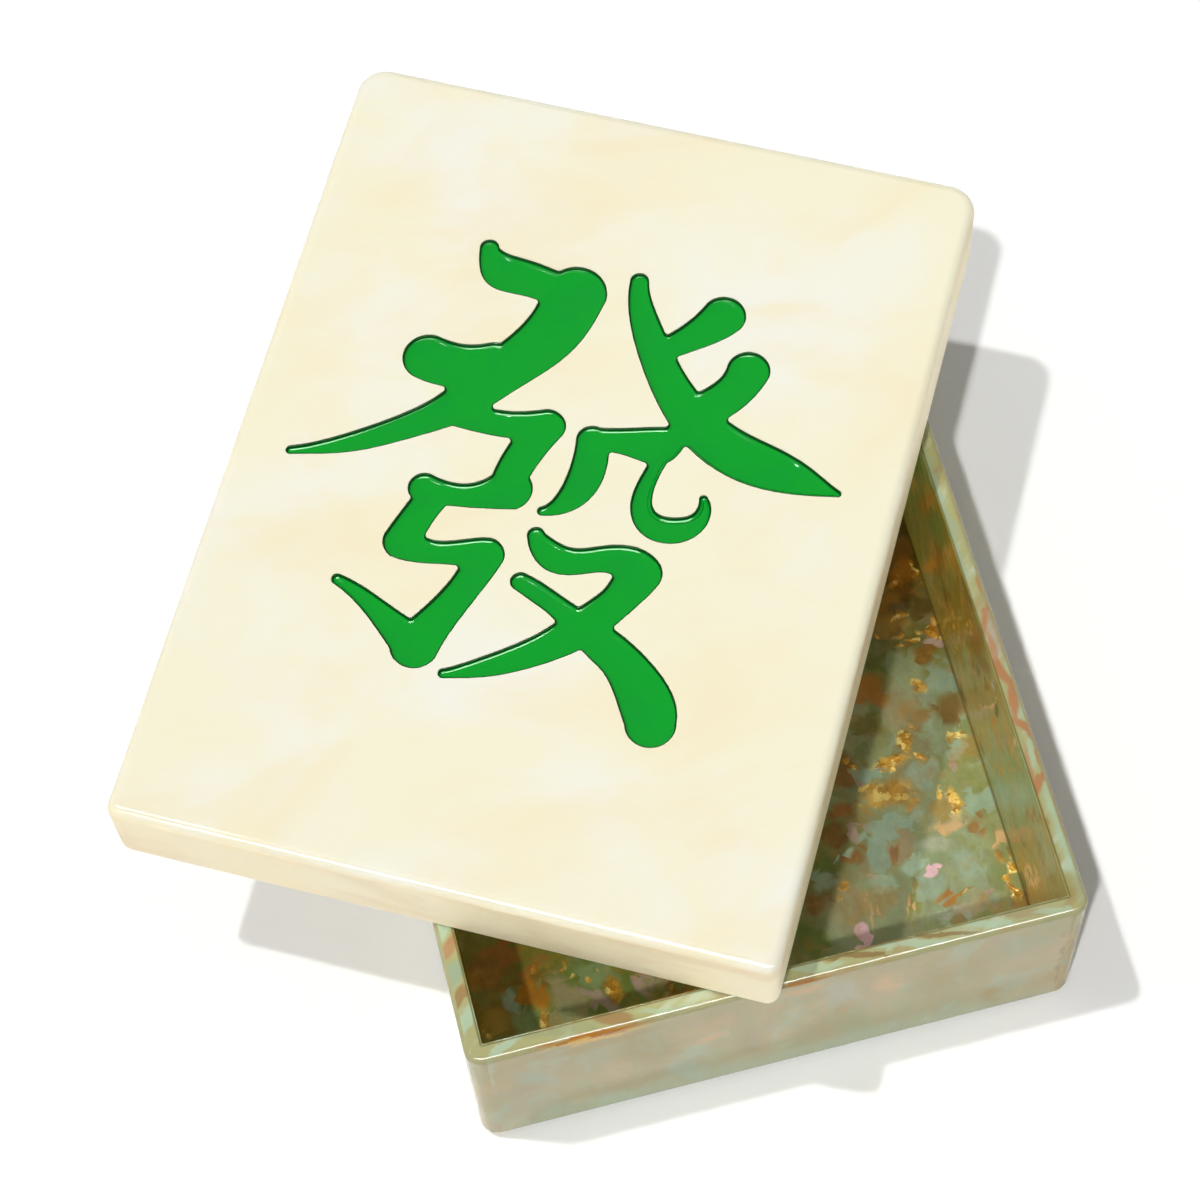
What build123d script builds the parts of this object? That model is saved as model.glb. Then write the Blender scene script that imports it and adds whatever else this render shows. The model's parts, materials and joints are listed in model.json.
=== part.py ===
from build123d import *
import os

# Mahjong case: a lift-off lid shaped like a game tile, lying askew on its tray.
#
# Tray and lid are both glued up from flat acrylic sheet, and every outer edge is
# rounded after gluing.  The lid is a shallow cap: turned straight, it drops over
# the tray's rim.  Its top panel is milled with pockets that hold the sign in
# three green inlays.
#
# Millimetres, +Z up.  The origin is the middle of the tray's underside, +X is to
# the right and +Y is to the back.

# Tray
TRAY_WIDTH = 165.0
TRAY_LENGTH = 222.0
TRAY_HEIGHT = 67.0
TRAY_WALL = 5.0
TRAY_FLOOR = 10.0
TRAY_CORNER_RADIUS = 4.5
TRAY_RIM_RADIUS = 2.0
TRAY_FOOT_RADIUS = 4.5

# Lid
LID_HEIGHT = 26.0
LID_WALL = 5.0
LID_TOP = 5.0
LID_CLEARANCE = 1.0
LID_FRONT_RADIUS = 3.5
LID_BACK_RADIUS = 8.0
LID_TOP_RADIUS = 3.0
LID_MOUTH_RADIUS = 2.0

# Where the lid lies on the rim
LID_TURN_ANGLE = -29.1
LID_SHIFT_X = -23.1
LID_SHIFT_Y = 29.25

# Inlaid sign
INLAY_THICKNESS = 2.0
INLAY_RECESS = 1.5
INLAY_CLEARANCE = 0.05
NOTCH_RADIUS = 0.9
SHARP_ANGLE = 30.0
SIDE_TOLERANCE = 0.05

# Sizes that follow from the ones above
LID_INSIDE_WIDTH = TRAY_WIDTH + 2 * LID_CLEARANCE
LID_INSIDE_LENGTH = TRAY_LENGTH + 2 * LID_CLEARANCE
LID_WIDTH = LID_INSIDE_WIDTH + 2 * LID_WALL
LID_LENGTH = LID_INSIDE_LENGTH + 2 * LID_WALL
LID_SKIRT = LID_HEIGHT - LID_TOP
LID_PLACE = Location((LID_SHIFT_X, LID_SHIFT_Y, TRAY_HEIGHT), (0, 0, LID_TURN_ANGLE))

# Brush strokes of the sign, seen from above in the lid's own axes.  Each
# stroke is a run of stations along its middle line: x, y, half of its width.
LEFT_STROKES = (
    # head bar and the long sweep down to the left
    ((-37.8, 66.9, 2.7), (-34.9, 62.4, 4.9), (-29.0, 60.2, 5.8), (-21.0, 59.6, 5.4),
     (-12.0, 58.4, 8.0)),
    ((-11.0, 58.4, 8.6), (-13.0, 48.4, 8.2), (-18.8, 37.4, 7.5), (-26.8, 26.8, 6.7),
     (-33.0, 18.0, 5.6), (-42.0, 10.2, 4.2), (-54.0, 2.2, 3.3), (-64.5, -3.0, 2.1),
     (-72.6, -5.9, 1.3)),
    # dot that runs into the sweep
    ((-44.6, 30.0, 7.0), (-36.0, 29.4, 6.8), (-27.0, 32.5, 6.4)),
    # upper bar, its turn and the bar below
    ((-33.0, 15.8, 4.3), (-20.0, 15.2, 4.0), (-8.0, 17.6, 4.9)),
    ((-7.6, 17.4, 4.9), (-11.5, 8.2, 5.0), (-13.6, -1.6, 4.6)),
    ((-12.8, -3.2, 6.5), (-21.0, -7.2, 3.8), (-34.6, -8.2, 4.4)),
    # second turn and its bar
    ((-31.3, -9.4, 4.6), (-34.4, -18.0, 4.6), (-35.9, -24.6, 5.2)),
    ((-35.6, -24.9, 5.2), (-27.5, -25.9, 3.5), (-19.5, -24.2, 3.9), (-13.4, -23.2, 5.0)),
    # stem, foot and flick
    ((-13.4, -23.4, 5.1), (-15.9, -33.0, 4.4), (-20.1, -43.2, 4.9), (-24.2, -52.8, 6.6)),
    ((-24.6, -52.6, 6.0), (-32.6, -47.9, 3.9), (-41.2, -42.8, 2.5), (-49.3, -39.5, 1.6)),
)
RIGHT_STROKES = (
    # long stroke from the top down to the right
    ((4.9, 66.4, 2.6), (7.9, 57.5, 3.6), (12.8, 48.8, 4.5), (19.6, 39.0, 5.1),
     (29.0, 29.2, 6.2), (42.0, 21.7, 6.9), (54.0, 19.0, 6.4), (64.0, 17.5, 4.0),
     (72.0, 16.2, 1.1)),
    # two leaves
    ((29.8, 61.2, 6.1), (25.6, 55.6, 5.0), (20.4, 50.6, 3.9), (15.6, 46.6, 3.6)),
    ((40.4, 46.4, 5.9), (38.4, 40.2, 5.4), (33.6, 34.0, 5.4), (28.0, 30.0, 5.0)),
    # bar, its left tail and the hook
    ((28.2, 24.4, 2.0), (19.5, 18.3, 5.35), (12.5, 17.8, 3.9), (6.8, 16.6, 3.9)),
    ((5.0, 16.2, 4.3), (6.2, 9.0, 4.8), (5.4, 1.8, 4.5), (2.2, -4.2, 3.0), (-2.3, -7.4, 1.4)),
    ((27.2, 22.0, 2.2), (24.1, 15.0, 2.2), (22.4, 7.0, 2.4), (22.9, -0.2, 3.0),
     (26.4, -4.2, 3.7), (31.6, -4.9, 3.9), (36.6, -2.5, 3.3), (39.1, 2.2, 2.1),
     (38.2, 6.2, 1.2)),
)
FOOT_STROKES = (
    # bar with a turned shoulder, and the sweep under it
    ((-2.0, -14.6, 2.4), (1.8, -18.4, 3.9), (7.4, -20.0, 4.2), (13.4, -18.4, 3.7),
     (19.2, -16.6, 4.3), (23.6, -16.9, 5.4), (27.2, -18.9, 6.0)),
    ((27.2, -18.9, 6.1), (25.6, -23.6, 5.4), (21.6, -31.0, 4.9), (16.2, -38.0, 5.2),
     (9.6, -44.6, 4.5), (2.4, -50.0, 3.8), (-6.0, -54.9, 2.8), (-14.8, -58.7, 1.4)),
    # crossing stroke that ends in the heavy foot
    ((-2.4, -28.6, 2.7), (4.0, -31.0, 3.0), (11.6, -34.6, 3.4), (19.0, -38.6, 4.6),
     (26.8, -42.8, 5.4), (33.8, -48.6, 6.4), (38.8, -54.8, 7.2), (40.8, -59.4, 6.7)),
)
SIGN_ISLANDS = {
    "inlay_left": LEFT_STROKES,
    "inlay_right": RIGHT_STROKES,
    "inlay_foot": FOOT_STROKES,
}


def smooth_side(points):
    """Smooth line of few spans along one side of a stroke."""
    return Edge.make_spline_approx(points, tol=SIDE_TOLERANCE, min_deg=3, max_deg=5)


def stroke_face(stations, grow=0.0):
    """One brush stroke as a flat face with round ends, widened by grow all round."""
    middle = Spline(*[(x, y) for x, y, _ in stations])
    near_side = []
    far_side = []
    for x, y, half_width in stations:
        point = Vector(x, y)
        along = middle.tangent_at(middle.param_at_point(point))
        across = Vector(-along.Y, along.X) * (half_width + grow)
        near_side.append(point - across)
        far_side.append(point + across)
    start_tip = Vector(*stations[0][:2]) - middle.tangent_at(0) * (stations[0][2] + grow)
    end_tip = Vector(*stations[-1][:2]) + middle.tangent_at(1) * (stations[-1][2] + grow)
    outline = [
        smooth_side(near_side),
        ThreePointArc(near_side[-1], end_tip, far_side[-1]),
        smooth_side(far_side[::-1]),
        ThreePointArc(far_side[0], start_tip, near_side[0]),
    ]
    return make_face(outline)


def notch_corners(outline):
    """Corners of a closed outline where two strokes meet at a sharp notch."""
    edges = outline.order_edges()
    corners = []
    for before, after in zip(edges, edges[1:] + edges[:1]):
        if (before % 1).get_angle(after % 0) > SHARP_ANGLE:
            corners.append(after.start_point())
    return [vertex for vertex in outline.vertices() if vertex.center() in corners]


def sign_island(strokes, thickness, grow=0.0):
    """Strokes of one island fused, notches rounded, as a plate standing on z = 0."""
    island = Sketch()
    for stations in strokes:
        island += stroke_face(stations, grow)
    face = island.face()
    rounded = face.fillet_2d(NOTCH_RADIUS - grow, notch_corners(face.outer_wire()))
    return extrude(rounded, thickness)


def rounded_block(width, length, height, front_radius, back_radius, top_radius, bottom_radius):
    """Block on z = 0, its upright corners rounded front and back, its edges top and bottom."""
    outline = Rectangle(width, length)
    outline = fillet(outline.vertices().group_by(Axis.Y)[0], front_radius)
    outline = fillet(outline.vertices().group_by(Axis.Y)[-1], back_radius)
    block = extrude(outline, height)
    block = fillet(block.edges().group_by(Axis.Z)[-1], top_radius)
    return fillet(block.edges().group_by(Axis.Z)[0], bottom_radius)


def box_between(x_range, y_range, z_range):
    """Plain box from its lowest and highest value along each axis."""
    size = [high - low for low, high in (x_range, y_range, z_range)]
    middle = [(high + low) / 2 for low, high in (x_range, y_range, z_range)]
    return Pos(*middle) * Box(*size)


def sheet_walls(block, width, length, wall, z_range):
    """Four butted wall sheets of a block: the side walls run the full length."""
    half_width = width / 2
    half_length = length / 2
    inner_x = half_width - wall
    inner_y = half_length - wall
    full_y = (-half_length, half_length)
    between = (-inner_x, inner_x)
    return {
        "left": block & box_between((-half_width, -inner_x), full_y, z_range),
        "right": block & box_between((inner_x, half_width), full_y, z_range),
        "front": block & box_between(between, (-half_length, -inner_y), z_range),
        "back": block & box_between(between, (inner_y, half_length), z_range),
    }


def make_tray():
    """Tray: a floor sheet glued in between four wall sheets."""
    block = rounded_block(
        TRAY_WIDTH, TRAY_LENGTH, TRAY_HEIGHT,
        TRAY_CORNER_RADIUS, TRAY_CORNER_RADIUS, TRAY_RIM_RADIUS, TRAY_FOOT_RADIUS,
    )
    walls = sheet_walls(block, TRAY_WIDTH, TRAY_LENGTH, TRAY_WALL, (0, TRAY_HEIGHT))
    pieces = {f"tray_{side}_wall": wall for side, wall in walls.items()}
    inner_x = TRAY_WIDTH / 2 - TRAY_WALL
    inner_y = TRAY_LENGTH / 2 - TRAY_WALL
    pieces["tray_floor"] = box_between((-inner_x, inner_x), (-inner_y, inner_y), (0, TRAY_FLOOR))
    return pieces


def make_lid():
    """Lid, mouth down on z = 0: top panel with the sign's pockets over four wall sheets."""
    block = rounded_block(
        LID_WIDTH, LID_LENGTH, LID_HEIGHT,
        LID_FRONT_RADIUS, LID_BACK_RADIUS, LID_TOP_RADIUS, LID_MOUTH_RADIUS,
    )
    walls = sheet_walls(block, LID_WIDTH, LID_LENGTH, LID_WALL, (0, LID_SKIRT))
    pieces = {f"lid_{side}_wall": wall for side, wall in walls.items()}
    panel = block & box_between(
        (-LID_WIDTH / 2, LID_WIDTH / 2), (-LID_LENGTH / 2, LID_LENGTH / 2), (LID_SKIRT, LID_HEIGHT),
    )
    pocket_floor = LID_HEIGHT - INLAY_RECESS - INLAY_THICKNESS
    for name, strokes in SIGN_ISLANDS.items():
        pocket = sign_island(strokes, INLAY_RECESS + INLAY_THICKNESS, INLAY_CLEARANCE)
        panel -= Pos(0, 0, pocket_floor) * pocket
        pieces[name] = Pos(0, 0, pocket_floor) * sign_island(strokes, INLAY_THICKNESS)
    pieces["lid_top_panel"] = panel
    return pieces


def main():
    """Write one STEP file for each piece, with the lid lying askew on the rim."""
    os.makedirs("parts", exist_ok=True)
    pieces = make_tray()
    pieces.update({name: LID_PLACE * piece for name, piece in make_lid().items()})
    for name, piece in pieces.items():
        export_step(piece, f"parts/{name}.step")
        print(f"{name}: {piece.volume / 1000:.2f} cm3")


main()
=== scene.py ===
"""Looks of a mahjong case: a shell-chip acrylic tray under a cream slip-over lid."""

import json
import logging
import math
from dataclasses import dataclass
from enum import Enum

import bmesh
import bpy
from mathutils import Matrix, Vector

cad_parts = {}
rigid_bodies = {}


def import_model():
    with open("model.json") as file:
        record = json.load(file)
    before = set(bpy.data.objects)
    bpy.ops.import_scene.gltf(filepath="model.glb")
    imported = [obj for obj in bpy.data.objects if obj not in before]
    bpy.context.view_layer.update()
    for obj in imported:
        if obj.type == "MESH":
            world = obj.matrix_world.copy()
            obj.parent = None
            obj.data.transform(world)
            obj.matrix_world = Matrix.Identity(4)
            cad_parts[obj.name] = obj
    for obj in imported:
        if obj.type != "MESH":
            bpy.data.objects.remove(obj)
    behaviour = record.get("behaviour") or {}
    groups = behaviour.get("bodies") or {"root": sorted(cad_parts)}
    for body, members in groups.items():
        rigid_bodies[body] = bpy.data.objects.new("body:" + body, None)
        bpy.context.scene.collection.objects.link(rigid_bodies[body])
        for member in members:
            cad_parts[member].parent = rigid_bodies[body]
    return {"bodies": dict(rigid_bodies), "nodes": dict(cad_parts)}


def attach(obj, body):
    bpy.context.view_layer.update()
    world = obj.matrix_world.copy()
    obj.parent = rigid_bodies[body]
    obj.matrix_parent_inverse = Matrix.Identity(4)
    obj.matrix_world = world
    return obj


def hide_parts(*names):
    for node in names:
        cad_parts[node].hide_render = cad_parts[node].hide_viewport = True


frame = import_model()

LOG = logging.getLogger("mahjong_case")
MM_PER_METRE = 1000.0
MIDDLE_GREY = (0.5, 0.5, 0.5)

Socket = bpy.types.NodeSocket
Colour = tuple[float, float, float, float]
Stop = tuple[float, Colour]
Point = tuple[float, float, float]
Span = tuple[float, float]

BLACK: Colour = (0.0, 0.0, 0.0, 1.0)
WHITE: Colour = (1.0, 1.0, 1.0, 1.0)


def tone(red: int, green: int, blue: int) -> Colour:
    """Turn a colour as it looks on a display into linear light.

    Args:
        red: Red from 0 to 255.
        green: Green from 0 to 255.
        blue: Blue from 0 to 255.

    Returns:
        The linear colour with full alpha.
    """
    linear = []
    for channel in (red, green, blue):
        share = channel / 255.0
        # the display curve: a straight foot, then a power
        linear.append(share / 12.92 if share <= 0.04045 else ((share + 0.055) / 1.055) ** 2.4)
    return (linear[0], linear[1], linear[2], 1.0)


class Slot(Enum):
    """Material slots of the record that new pieces take."""

    INLAY = "inlay_acrylic"


class Body(Enum):
    """Bodies that new pieces move with."""

    LID = "lid"


class NodeBench:
    """A bench on which the nodes of one material, group or world are laid out."""

    columns: int = 9
    pitch: Span = (220.0, -240.0)

    def __init__(self, tree: bpy.types.NodeTree) -> None:
        """Take an empty node tree.

        Args:
            tree: The tree that the nodes go into.
        """
        self.tree = tree

    def feed(self, socket: Socket, value: object) -> None:
        """Link another socket to this one, or set its plain value.

        Args:
            socket: The input to feed.
            value: An output socket, a number, a colour or a vector.
        """
        if isinstance(value, Socket):
            self.tree.links.new(value, socket)
        else:
            socket.default_value = value

    def fill(self, node: bpy.types.Node, *sources: object, **values: object) -> bpy.types.Node:
        """Set a node's properties, then feed its inputs.

        Args:
            node: The node.
            *sources: What feeds its first inputs, in order.
            **values: Properties, all in small letters, and inputs, with _ for a space.

        Returns:
            The same node.
        """
        for name, value in values.items():
            if name.islower():
                setattr(node, name, value)
        for socket, value in zip(node.inputs, sources):
            self.feed(socket, value)
        for name, value in values.items():
            if not name.islower():
                self.feed(node.inputs[name.replace("_", " ")], value)
        return node

    def node(self, kind: str, *sources: object, **values: object) -> bpy.types.Node:
        """Add a node and fill it.

        Args:
            kind: Blender's name of the node type, without ShaderNode.
            *sources: What feeds its first inputs, in order.
            **values: Its properties and inputs by name.

        Returns:
            The new node.
        """
        row, column = divmod(len(self.tree.nodes), self.columns)
        made = self.tree.nodes.new(kind if kind.startswith("Node") else f"ShaderNode{kind}")
        made.location = (self.pitch[0] * column, self.pitch[1] * row)
        return self.fill(made, *sources, **values)

    def math(self, operation: str, first: object, second: object = 0.0) -> Socket:
        """Work out one sum.

        Args:
            operation: Name of the operation, such as ADD.
            first: First number or socket.
            second: Second number or socket.

        Returns:
            The socket with the result.
        """
        return self.node("Math", first, second, operation=operation).outputs[0]

    def times(self, first: object, second: object) -> Socket:
        """Multiply two numbers.

        Args:
            first: First number or socket.
            second: Second number or socket.

        Returns:
            The socket with the product.
        """
        return self.math("MULTIPLY", first, second)

    def vector(self, operation: str, first: object, second: object) -> Socket:
        """Work out one sum part by part.

        Args:
            operation: Name of the operation, such as ADD.
            first: First vector or socket.
            second: Second vector or socket.

        Returns:
            The socket with the result.
        """
        return self.node("VectorMath", first, second, operation=operation).outputs[0]

    def warp(self, place: object, source: Socket, reach: object) -> Socket:
        """Push a place about with a noisy colour.

        Args:
            place: Socket with the place.
            source: Socket with the colour; middle grey doesn't push.
            reach: Number or socket that says how far the colour pushes.

        Returns:
            The socket with the new place.
        """
        pull = self.vector("SUBTRACT", source, MIDDLE_GREY)
        push = self.node("VectorMath", pull, operation="SCALE", Scale=reach)
        return self.vector("ADD", place, push.outputs[0])

    def step(self, value: object, span: Span, start: float = 0.0) -> Socket:
        """Rise smoothly from 0 at one end of a span to 1 at the other.

        Args:
            value: Number or socket to measure.
            span: Where the result is 0 and where it is 1, in either order.
            start: Where the span is counted from.

        Returns:
            The socket with the mask.
        """
        turned = span[0] > span[1]
        low, high = min(span), max(span)
        ends = (start + low, start + high, float(turned), float(not turned))
        made = self.node("MapRange", value, *ends, interpolation_type="SMOOTHSTEP")
        return made.outputs["Result"]

    def blend(self, amount: object, under: object, over: object, mode: str = "MIX") -> Socket:
        """Lay one colour over another.

        Args:
            amount: Share of the upper colour.
            under: Lower colour or socket.
            over: Upper colour or socket.
            mode: Blender's blend mode.

        Returns:
            The socket with the mixed colour.
        """
        made = self.node("Mix", amount, data_type="RGBA", blend_type=mode)
        self.feed(made.inputs[6], under)
        self.feed(made.inputs[7], over)
        return made.outputs[2]

    def ramp(self, value: object, stops: tuple[Stop, ...], mode: str = "LINEAR") -> Socket:
        """Turn a number into a colour.

        Args:
            value: Number or socket from 0 to 1.
            stops: Places and colours of the ramp.
            mode: How the ramp runs between its stops.

        Returns:
            The socket with the colour.
        """
        made = self.node("ValToRGB", value)
        made.color_ramp.interpolation = mode
        while len(made.color_ramp.elements) < len(stops):
            made.color_ramp.elements.new(1.0)
        for element, (place, colour) in zip(made.color_ramp.elements, stops):
            element.position = place
            element.color = colour
        return made.outputs[0]

    def noise(
        self, place: object, scale: object, detail: float = 3.0, rough: float = 0.5
    ) -> bpy.types.NodeOutputs:
        """Add a noise over a place.

        Args:
            place: Socket with the place.
            scale: Size of the noise as a scale.
            detail: Number of finer layers.
            rough: Strength of the finer layers.

        Returns:
            The outputs of the noise's node.
        """
        return self.node(
            "TexNoise", Vector=place, Scale=scale, Detail=detail, Roughness=rough
        ).outputs

    def place_mm(self) -> Socket:
        """Give the place on the piece in millimetres."""
        place = self.node("TexCoord").outputs["Object"]
        return self.node("VectorMath", place, operation="SCALE", Scale=MM_PER_METRE).outputs[0]


class SharedEffect:
    """A named shader node group that more than one finish uses.

    It takes the place and some numbers, and gives numbers.
    """

    name: str
    takes: tuple[tuple[str, float], ...]
    gives: tuple[str, ...]

    def __init__(self) -> None:
        """Open the group with its two ends and lay it out between them."""
        self.tree = bpy.data.node_groups.new(self.name, "ShaderNodeTree")
        sockets = self.tree.interface
        sockets.new_socket("Vector", in_out="INPUT", socket_type="NodeSocketVector")
        for name, value in self.takes:
            taken = sockets.new_socket(name, in_out="INPUT", socket_type="NodeSocketFloat")
            taken.default_value = value
        for name in self.gives:
            sockets.new_socket(name, in_out="OUTPUT", socket_type="NodeSocketFloat")
        self.bench = NodeBench(self.tree)
        self.given = self.bench.node("NodeGroupInput").outputs
        self.bench.node("NodeGroupOutput", *self.lay_out())

    def lay_out(self) -> tuple[Socket, ...]:
        """Lay out the group's nodes.

        Returns:
            The sockets that the group gives, in order.
        """
        raise NotImplementedError


class CloudVeil(SharedEffect):
    """Soft clouds that drift through cast acrylic."""

    name = "cloud_veil"
    takes = (("Cloud Size", 40.0), ("Drift", 12.0), ("Thin", 0.4), ("Thick", 0.6))
    gives = ("Mask",)

    def lay_out(self) -> tuple[Socket, ...]:
        """Bend the place with a slow noise, then cut clouds from a second one.

        Returns:
            The socket with the clouds' mask.
        """
        bench, given = self.bench, self.given
        scale = bench.math("DIVIDE", 1.0, given["Cloud Size"])
        slow = bench.noise(given["Vector"], bench.times(scale, 0.6), detail=1.0)
        drift = bench.times(given["Drift"], 4.0)
        bent = bench.warp(given["Vector"], slow["Color"], drift)
        cloud = bench.noise(bent, scale, detail=4.0, rough=0.55)
        ends = (given["Thin"], given["Thick"])
        cut = bench.node("MapRange", cloud["Fac"], *ends, interpolation_type="SMOOTHSTEP")
        return (cut.outputs["Result"],)


class PolishWear(SharedEffect):
    """Faint waves and handling marks of polished acrylic."""

    name = "polish_wear"
    takes = (("Smooth", 0.08), ("Worn", 0.16))
    gives = ("Roughness", "Height")

    def lay_out(self) -> tuple[Socket, ...]:
        """Mix slow waves with a fine grain.

        Returns:
            The sockets with the roughness and the height.
        """
        bench, given = self.bench, self.given
        broad = bench.noise(given["Vector"], 0.035, detail=3.0, rough=0.6)["Fac"]
        fine = bench.noise(given["Vector"], 1.4, detail=2.0, rough=0.5)["Fac"]
        mark = bench.times(bench.step(broad, (0.42, 0.66)), 0.75)
        mark = bench.math("ADD", mark, bench.times(fine, 0.25))
        spread = bench.math("SUBTRACT", given["Worn"], given["Smooth"])
        rough = bench.math("ADD", given["Smooth"], bench.times(spread, mark))
        return rough, bench.math("ADD", broad, bench.times(fine, 0.06))


class ShellChips(SharedEffect):
    """Flat shell chips lying in clear acrylic, each with its own chance numbers."""

    name = "shell_chips"
    takes = (("Chip Size", 10.0), ("Ragged", 3.0))
    gives = ("Pick", "Twin", "Third", "Edge", "Dome")

    def lay_out(self) -> tuple[Socket, ...]:
        """Cut the bent place into cells.

        Returns:
            The sockets with each cell's three numbers, its edge and its dome.
        """
        bench, given = self.bench, self.given
        scale = bench.math("DIVIDE", 1.0, given["Chip Size"])
        slow = bench.noise(given["Vector"], bench.times(scale, 1.3), detail=3.0, rough=0.6)
        ragged = bench.times(given["Ragged"], 3.0)
        bent = bench.warp(given["Vector"], slow["Color"], ragged)
        cells = bench.node("TexVoronoi", Vector=bent, Scale=scale)
        rims = bench.node("TexVoronoi", feature="DISTANCE_TO_EDGE", Vector=bent, Scale=scale)
        parts = bench.node("SeparateColor", cells.outputs["Color"])
        return (*parts.outputs, rims.outputs["Distance"], cells.outputs["Distance"])


@dataclass(frozen=True)
class Effects:
    """The shared effects, built once."""

    cloud: bpy.types.NodeTree
    polish: bpy.types.NodeTree
    chips: bpy.types.NodeTree


@dataclass(frozen=True)
class Veil:
    """Clouds of one colour laid over another, in millimetres."""

    shade: Colour
    amount: float
    size: float
    drift: float
    edge: Span
    stretch: Point = (1.0, 1.0, 1.0)
    offset: Point = (0.0, 0.0, 0.0)
    turn_degrees: float = 0.0


class Finish:
    """A finish that builds one material."""

    title: str = "finish"

    def __init__(self, effects: Effects) -> None:
        """Start an empty material and build it.

        Args:
            effects: The shared effects.
        """
        self.effects = effects
        self.material = bpy.data.materials.new(self.title)
        self.material.use_nodes = True
        self.material.node_tree.nodes.clear()
        self.bench = NodeBench(self.material.node_tree)
        self.shader = self.bench.node("BsdfPrincipled")
        self.bench.node("OutputMaterial", self.shader.outputs[0])
        self.place = self.bench.place_mm()
        self.build()

    def build(self) -> None:
        """Build the material."""
        raise NotImplementedError

    def veiled(self, colour: object, *veils: Veil) -> Socket:
        """Lay clouds over a colour.

        Args:
            colour: The colour under them.
            *veils: The clouds, from the lowest up.

        Returns:
            The socket with the colour.
        """
        bench = self.bench
        for veil in veils:
            place = self.place
            if veil.turn_degrees:
                turn = (0.0, 0.0, -math.radians(veil.turn_degrees))
                place = bench.node("Mapping", Vector=place, Rotation=turn).outputs[0]
            place = bench.vector("MULTIPLY", place, veil.stretch)
            place = bench.vector("ADD", place, veil.offset)
            looks = (veil.size, veil.drift, *veil.edge)
            clouds = bench.node("Group", place, *looks, node_tree=self.effects.cloud)
            mask = bench.times(clouds.outputs["Mask"], veil.amount)
            colour = bench.blend(mask, colour, veil.shade)
        return colour

    def polish(self, wear: Span, bump: Span, height: object = None) -> Socket:
        """Polish and wear the surface.

        Args:
            wear: Roughness where it is untouched and where it is worn.
            bump: Strength of the bump, and its height in metres.
            height: Socket with the bump, where it isn't that of the wear.

        Returns:
            The socket with the roughness.
        """
        marks = self.bench.node("Group", self.place, *wear, node_tree=self.effects.polish).outputs
        height = height or marks["Height"]
        tilted = self.bench.node("Bump", Strength=bump[0], Distance=bump[1], Height=height)
        self.bench.fill(self.shader, Normal=tilted.outputs[0])
        return marks["Roughness"]


@dataclass(frozen=True)
class CreamTones:
    """Colours of the cream acrylic."""

    body: Colour = tone(244, 239, 210)
    pale: Colour = tone(243, 241, 227)
    warm: Colour = tone(244, 233, 198)
    side: Colour = tone(247, 231, 187)
    # painted shade, laid in clouds over the upright faces
    painted_side_shade: Colour = tone(232, 212, 172)


class CreamAcrylic(Finish):
    """Cloudy cream acrylic of the lid, polished to a wet gloss."""

    title = "cream_acrylic"
    tones = CreamTones()
    upright_fade: Span = (0.74, 0.1)
    upright_rough: float = 0.3
    top_on_side: float = 0.35

    def build(self) -> None:
        """Lay clouds over the cream; upright faces get painted shade clouds and a painted glow."""
        bench, tones = self.bench, self.tones
        colour = self.veiled(
            tones.body,
            Veil(tones.pale, 1.0, 64.0, 20.0, (0.4, 0.66)),
            Veil(tones.warm, 0.8, 46.0, 20.0, (0.44, 0.7), (0.8, 1.5, 1.0), (310.0, 75.0, 40.0)),
            Veil(tones.warm, 0.25, 15.0, 9.0, (0.56, 0.74), (0.35, 1.6, 1.0), (90.0, 510.0, 0.0)),
        )
        normal = bench.node("SeparateXYZ", bench.node("TexCoord").outputs["Normal"])
        upright = bench.step(bench.math("ABSOLUTE", normal.outputs[2]), self.upright_fade)
        # upright faces: a warmer tone for the cream seen through its thickness, under clouds of
        # painted shade
        side = self.veiled(
            bench.blend(self.top_on_side, tones.side, colour),
            Veil(tones.painted_side_shade, 0.7, 30.0, 9.0, (0.4, 0.68), (0.7, 0.7, 1.8), (44.0, 61.0, 5.0)),
        )
        colour = bench.blend(upright, colour, side)
        rough = self.polish(wear=(0.1, 0.16), bump=(0.08, 0.001))
        bench.fill(
            self.shader,
            Base_Color=colour,
            Roughness=bench.math("ADD", rough, bench.times(upright, self.upright_rough)),
            # painted glow on the upright faces, for light seeping through the cream
            Emission_Color=bench.blend(upright, BLACK, colour),
            Emission_Strength=0.09,
            IOR=1.45,
            Specular_IOR_Level=0.3,
        )


@dataclass(frozen=True)
class GreenTones:
    """Colours of the green inlays."""

    face: Colour = tone(0, 159, 40)
    cloud: Colour = tone(0, 152, 46)
    # near black on the pocket walls: partly the deeper green of the thick edge, partly painted shade
    wall: Colour = tone(4, 74, 24)


class GreenEnamel(Finish):
    """Glossy green of the inlays, painted near black as shade where it climbs the pocket walls."""

    title = "green_enamel"
    tones = GreenTones()
    fill_level: float = 91.5
    shaded_climb: Span = (0.36, 0.56)

    def build(self) -> None:
        """Cloud the green and paint shade on it where it climbs."""
        bench, tones = self.bench, self.tones
        colour = self.veiled(tones.face, Veil(tones.cloud, 0.6, 18.0, 8.0, (0.45, 0.7)))
        rise = bench.node("SeparateXYZ", self.place).outputs[2]
        # painted shade: near black where the green climbs the pocket walls
        climbed_shade = bench.step(rise, self.shaded_climb, self.fill_level)
        bench.fill(
            self.shader,
            Base_Color=bench.blend(climbed_shade, colour, tones.wall),
            Roughness=self.polish(wear=(0.05, 0.11), bump=(0.06, 0.0006)),
            IOR=1.25,
            Specular_Tint=(0.75, 1.0, 0.8, 1.0),
        )


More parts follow.
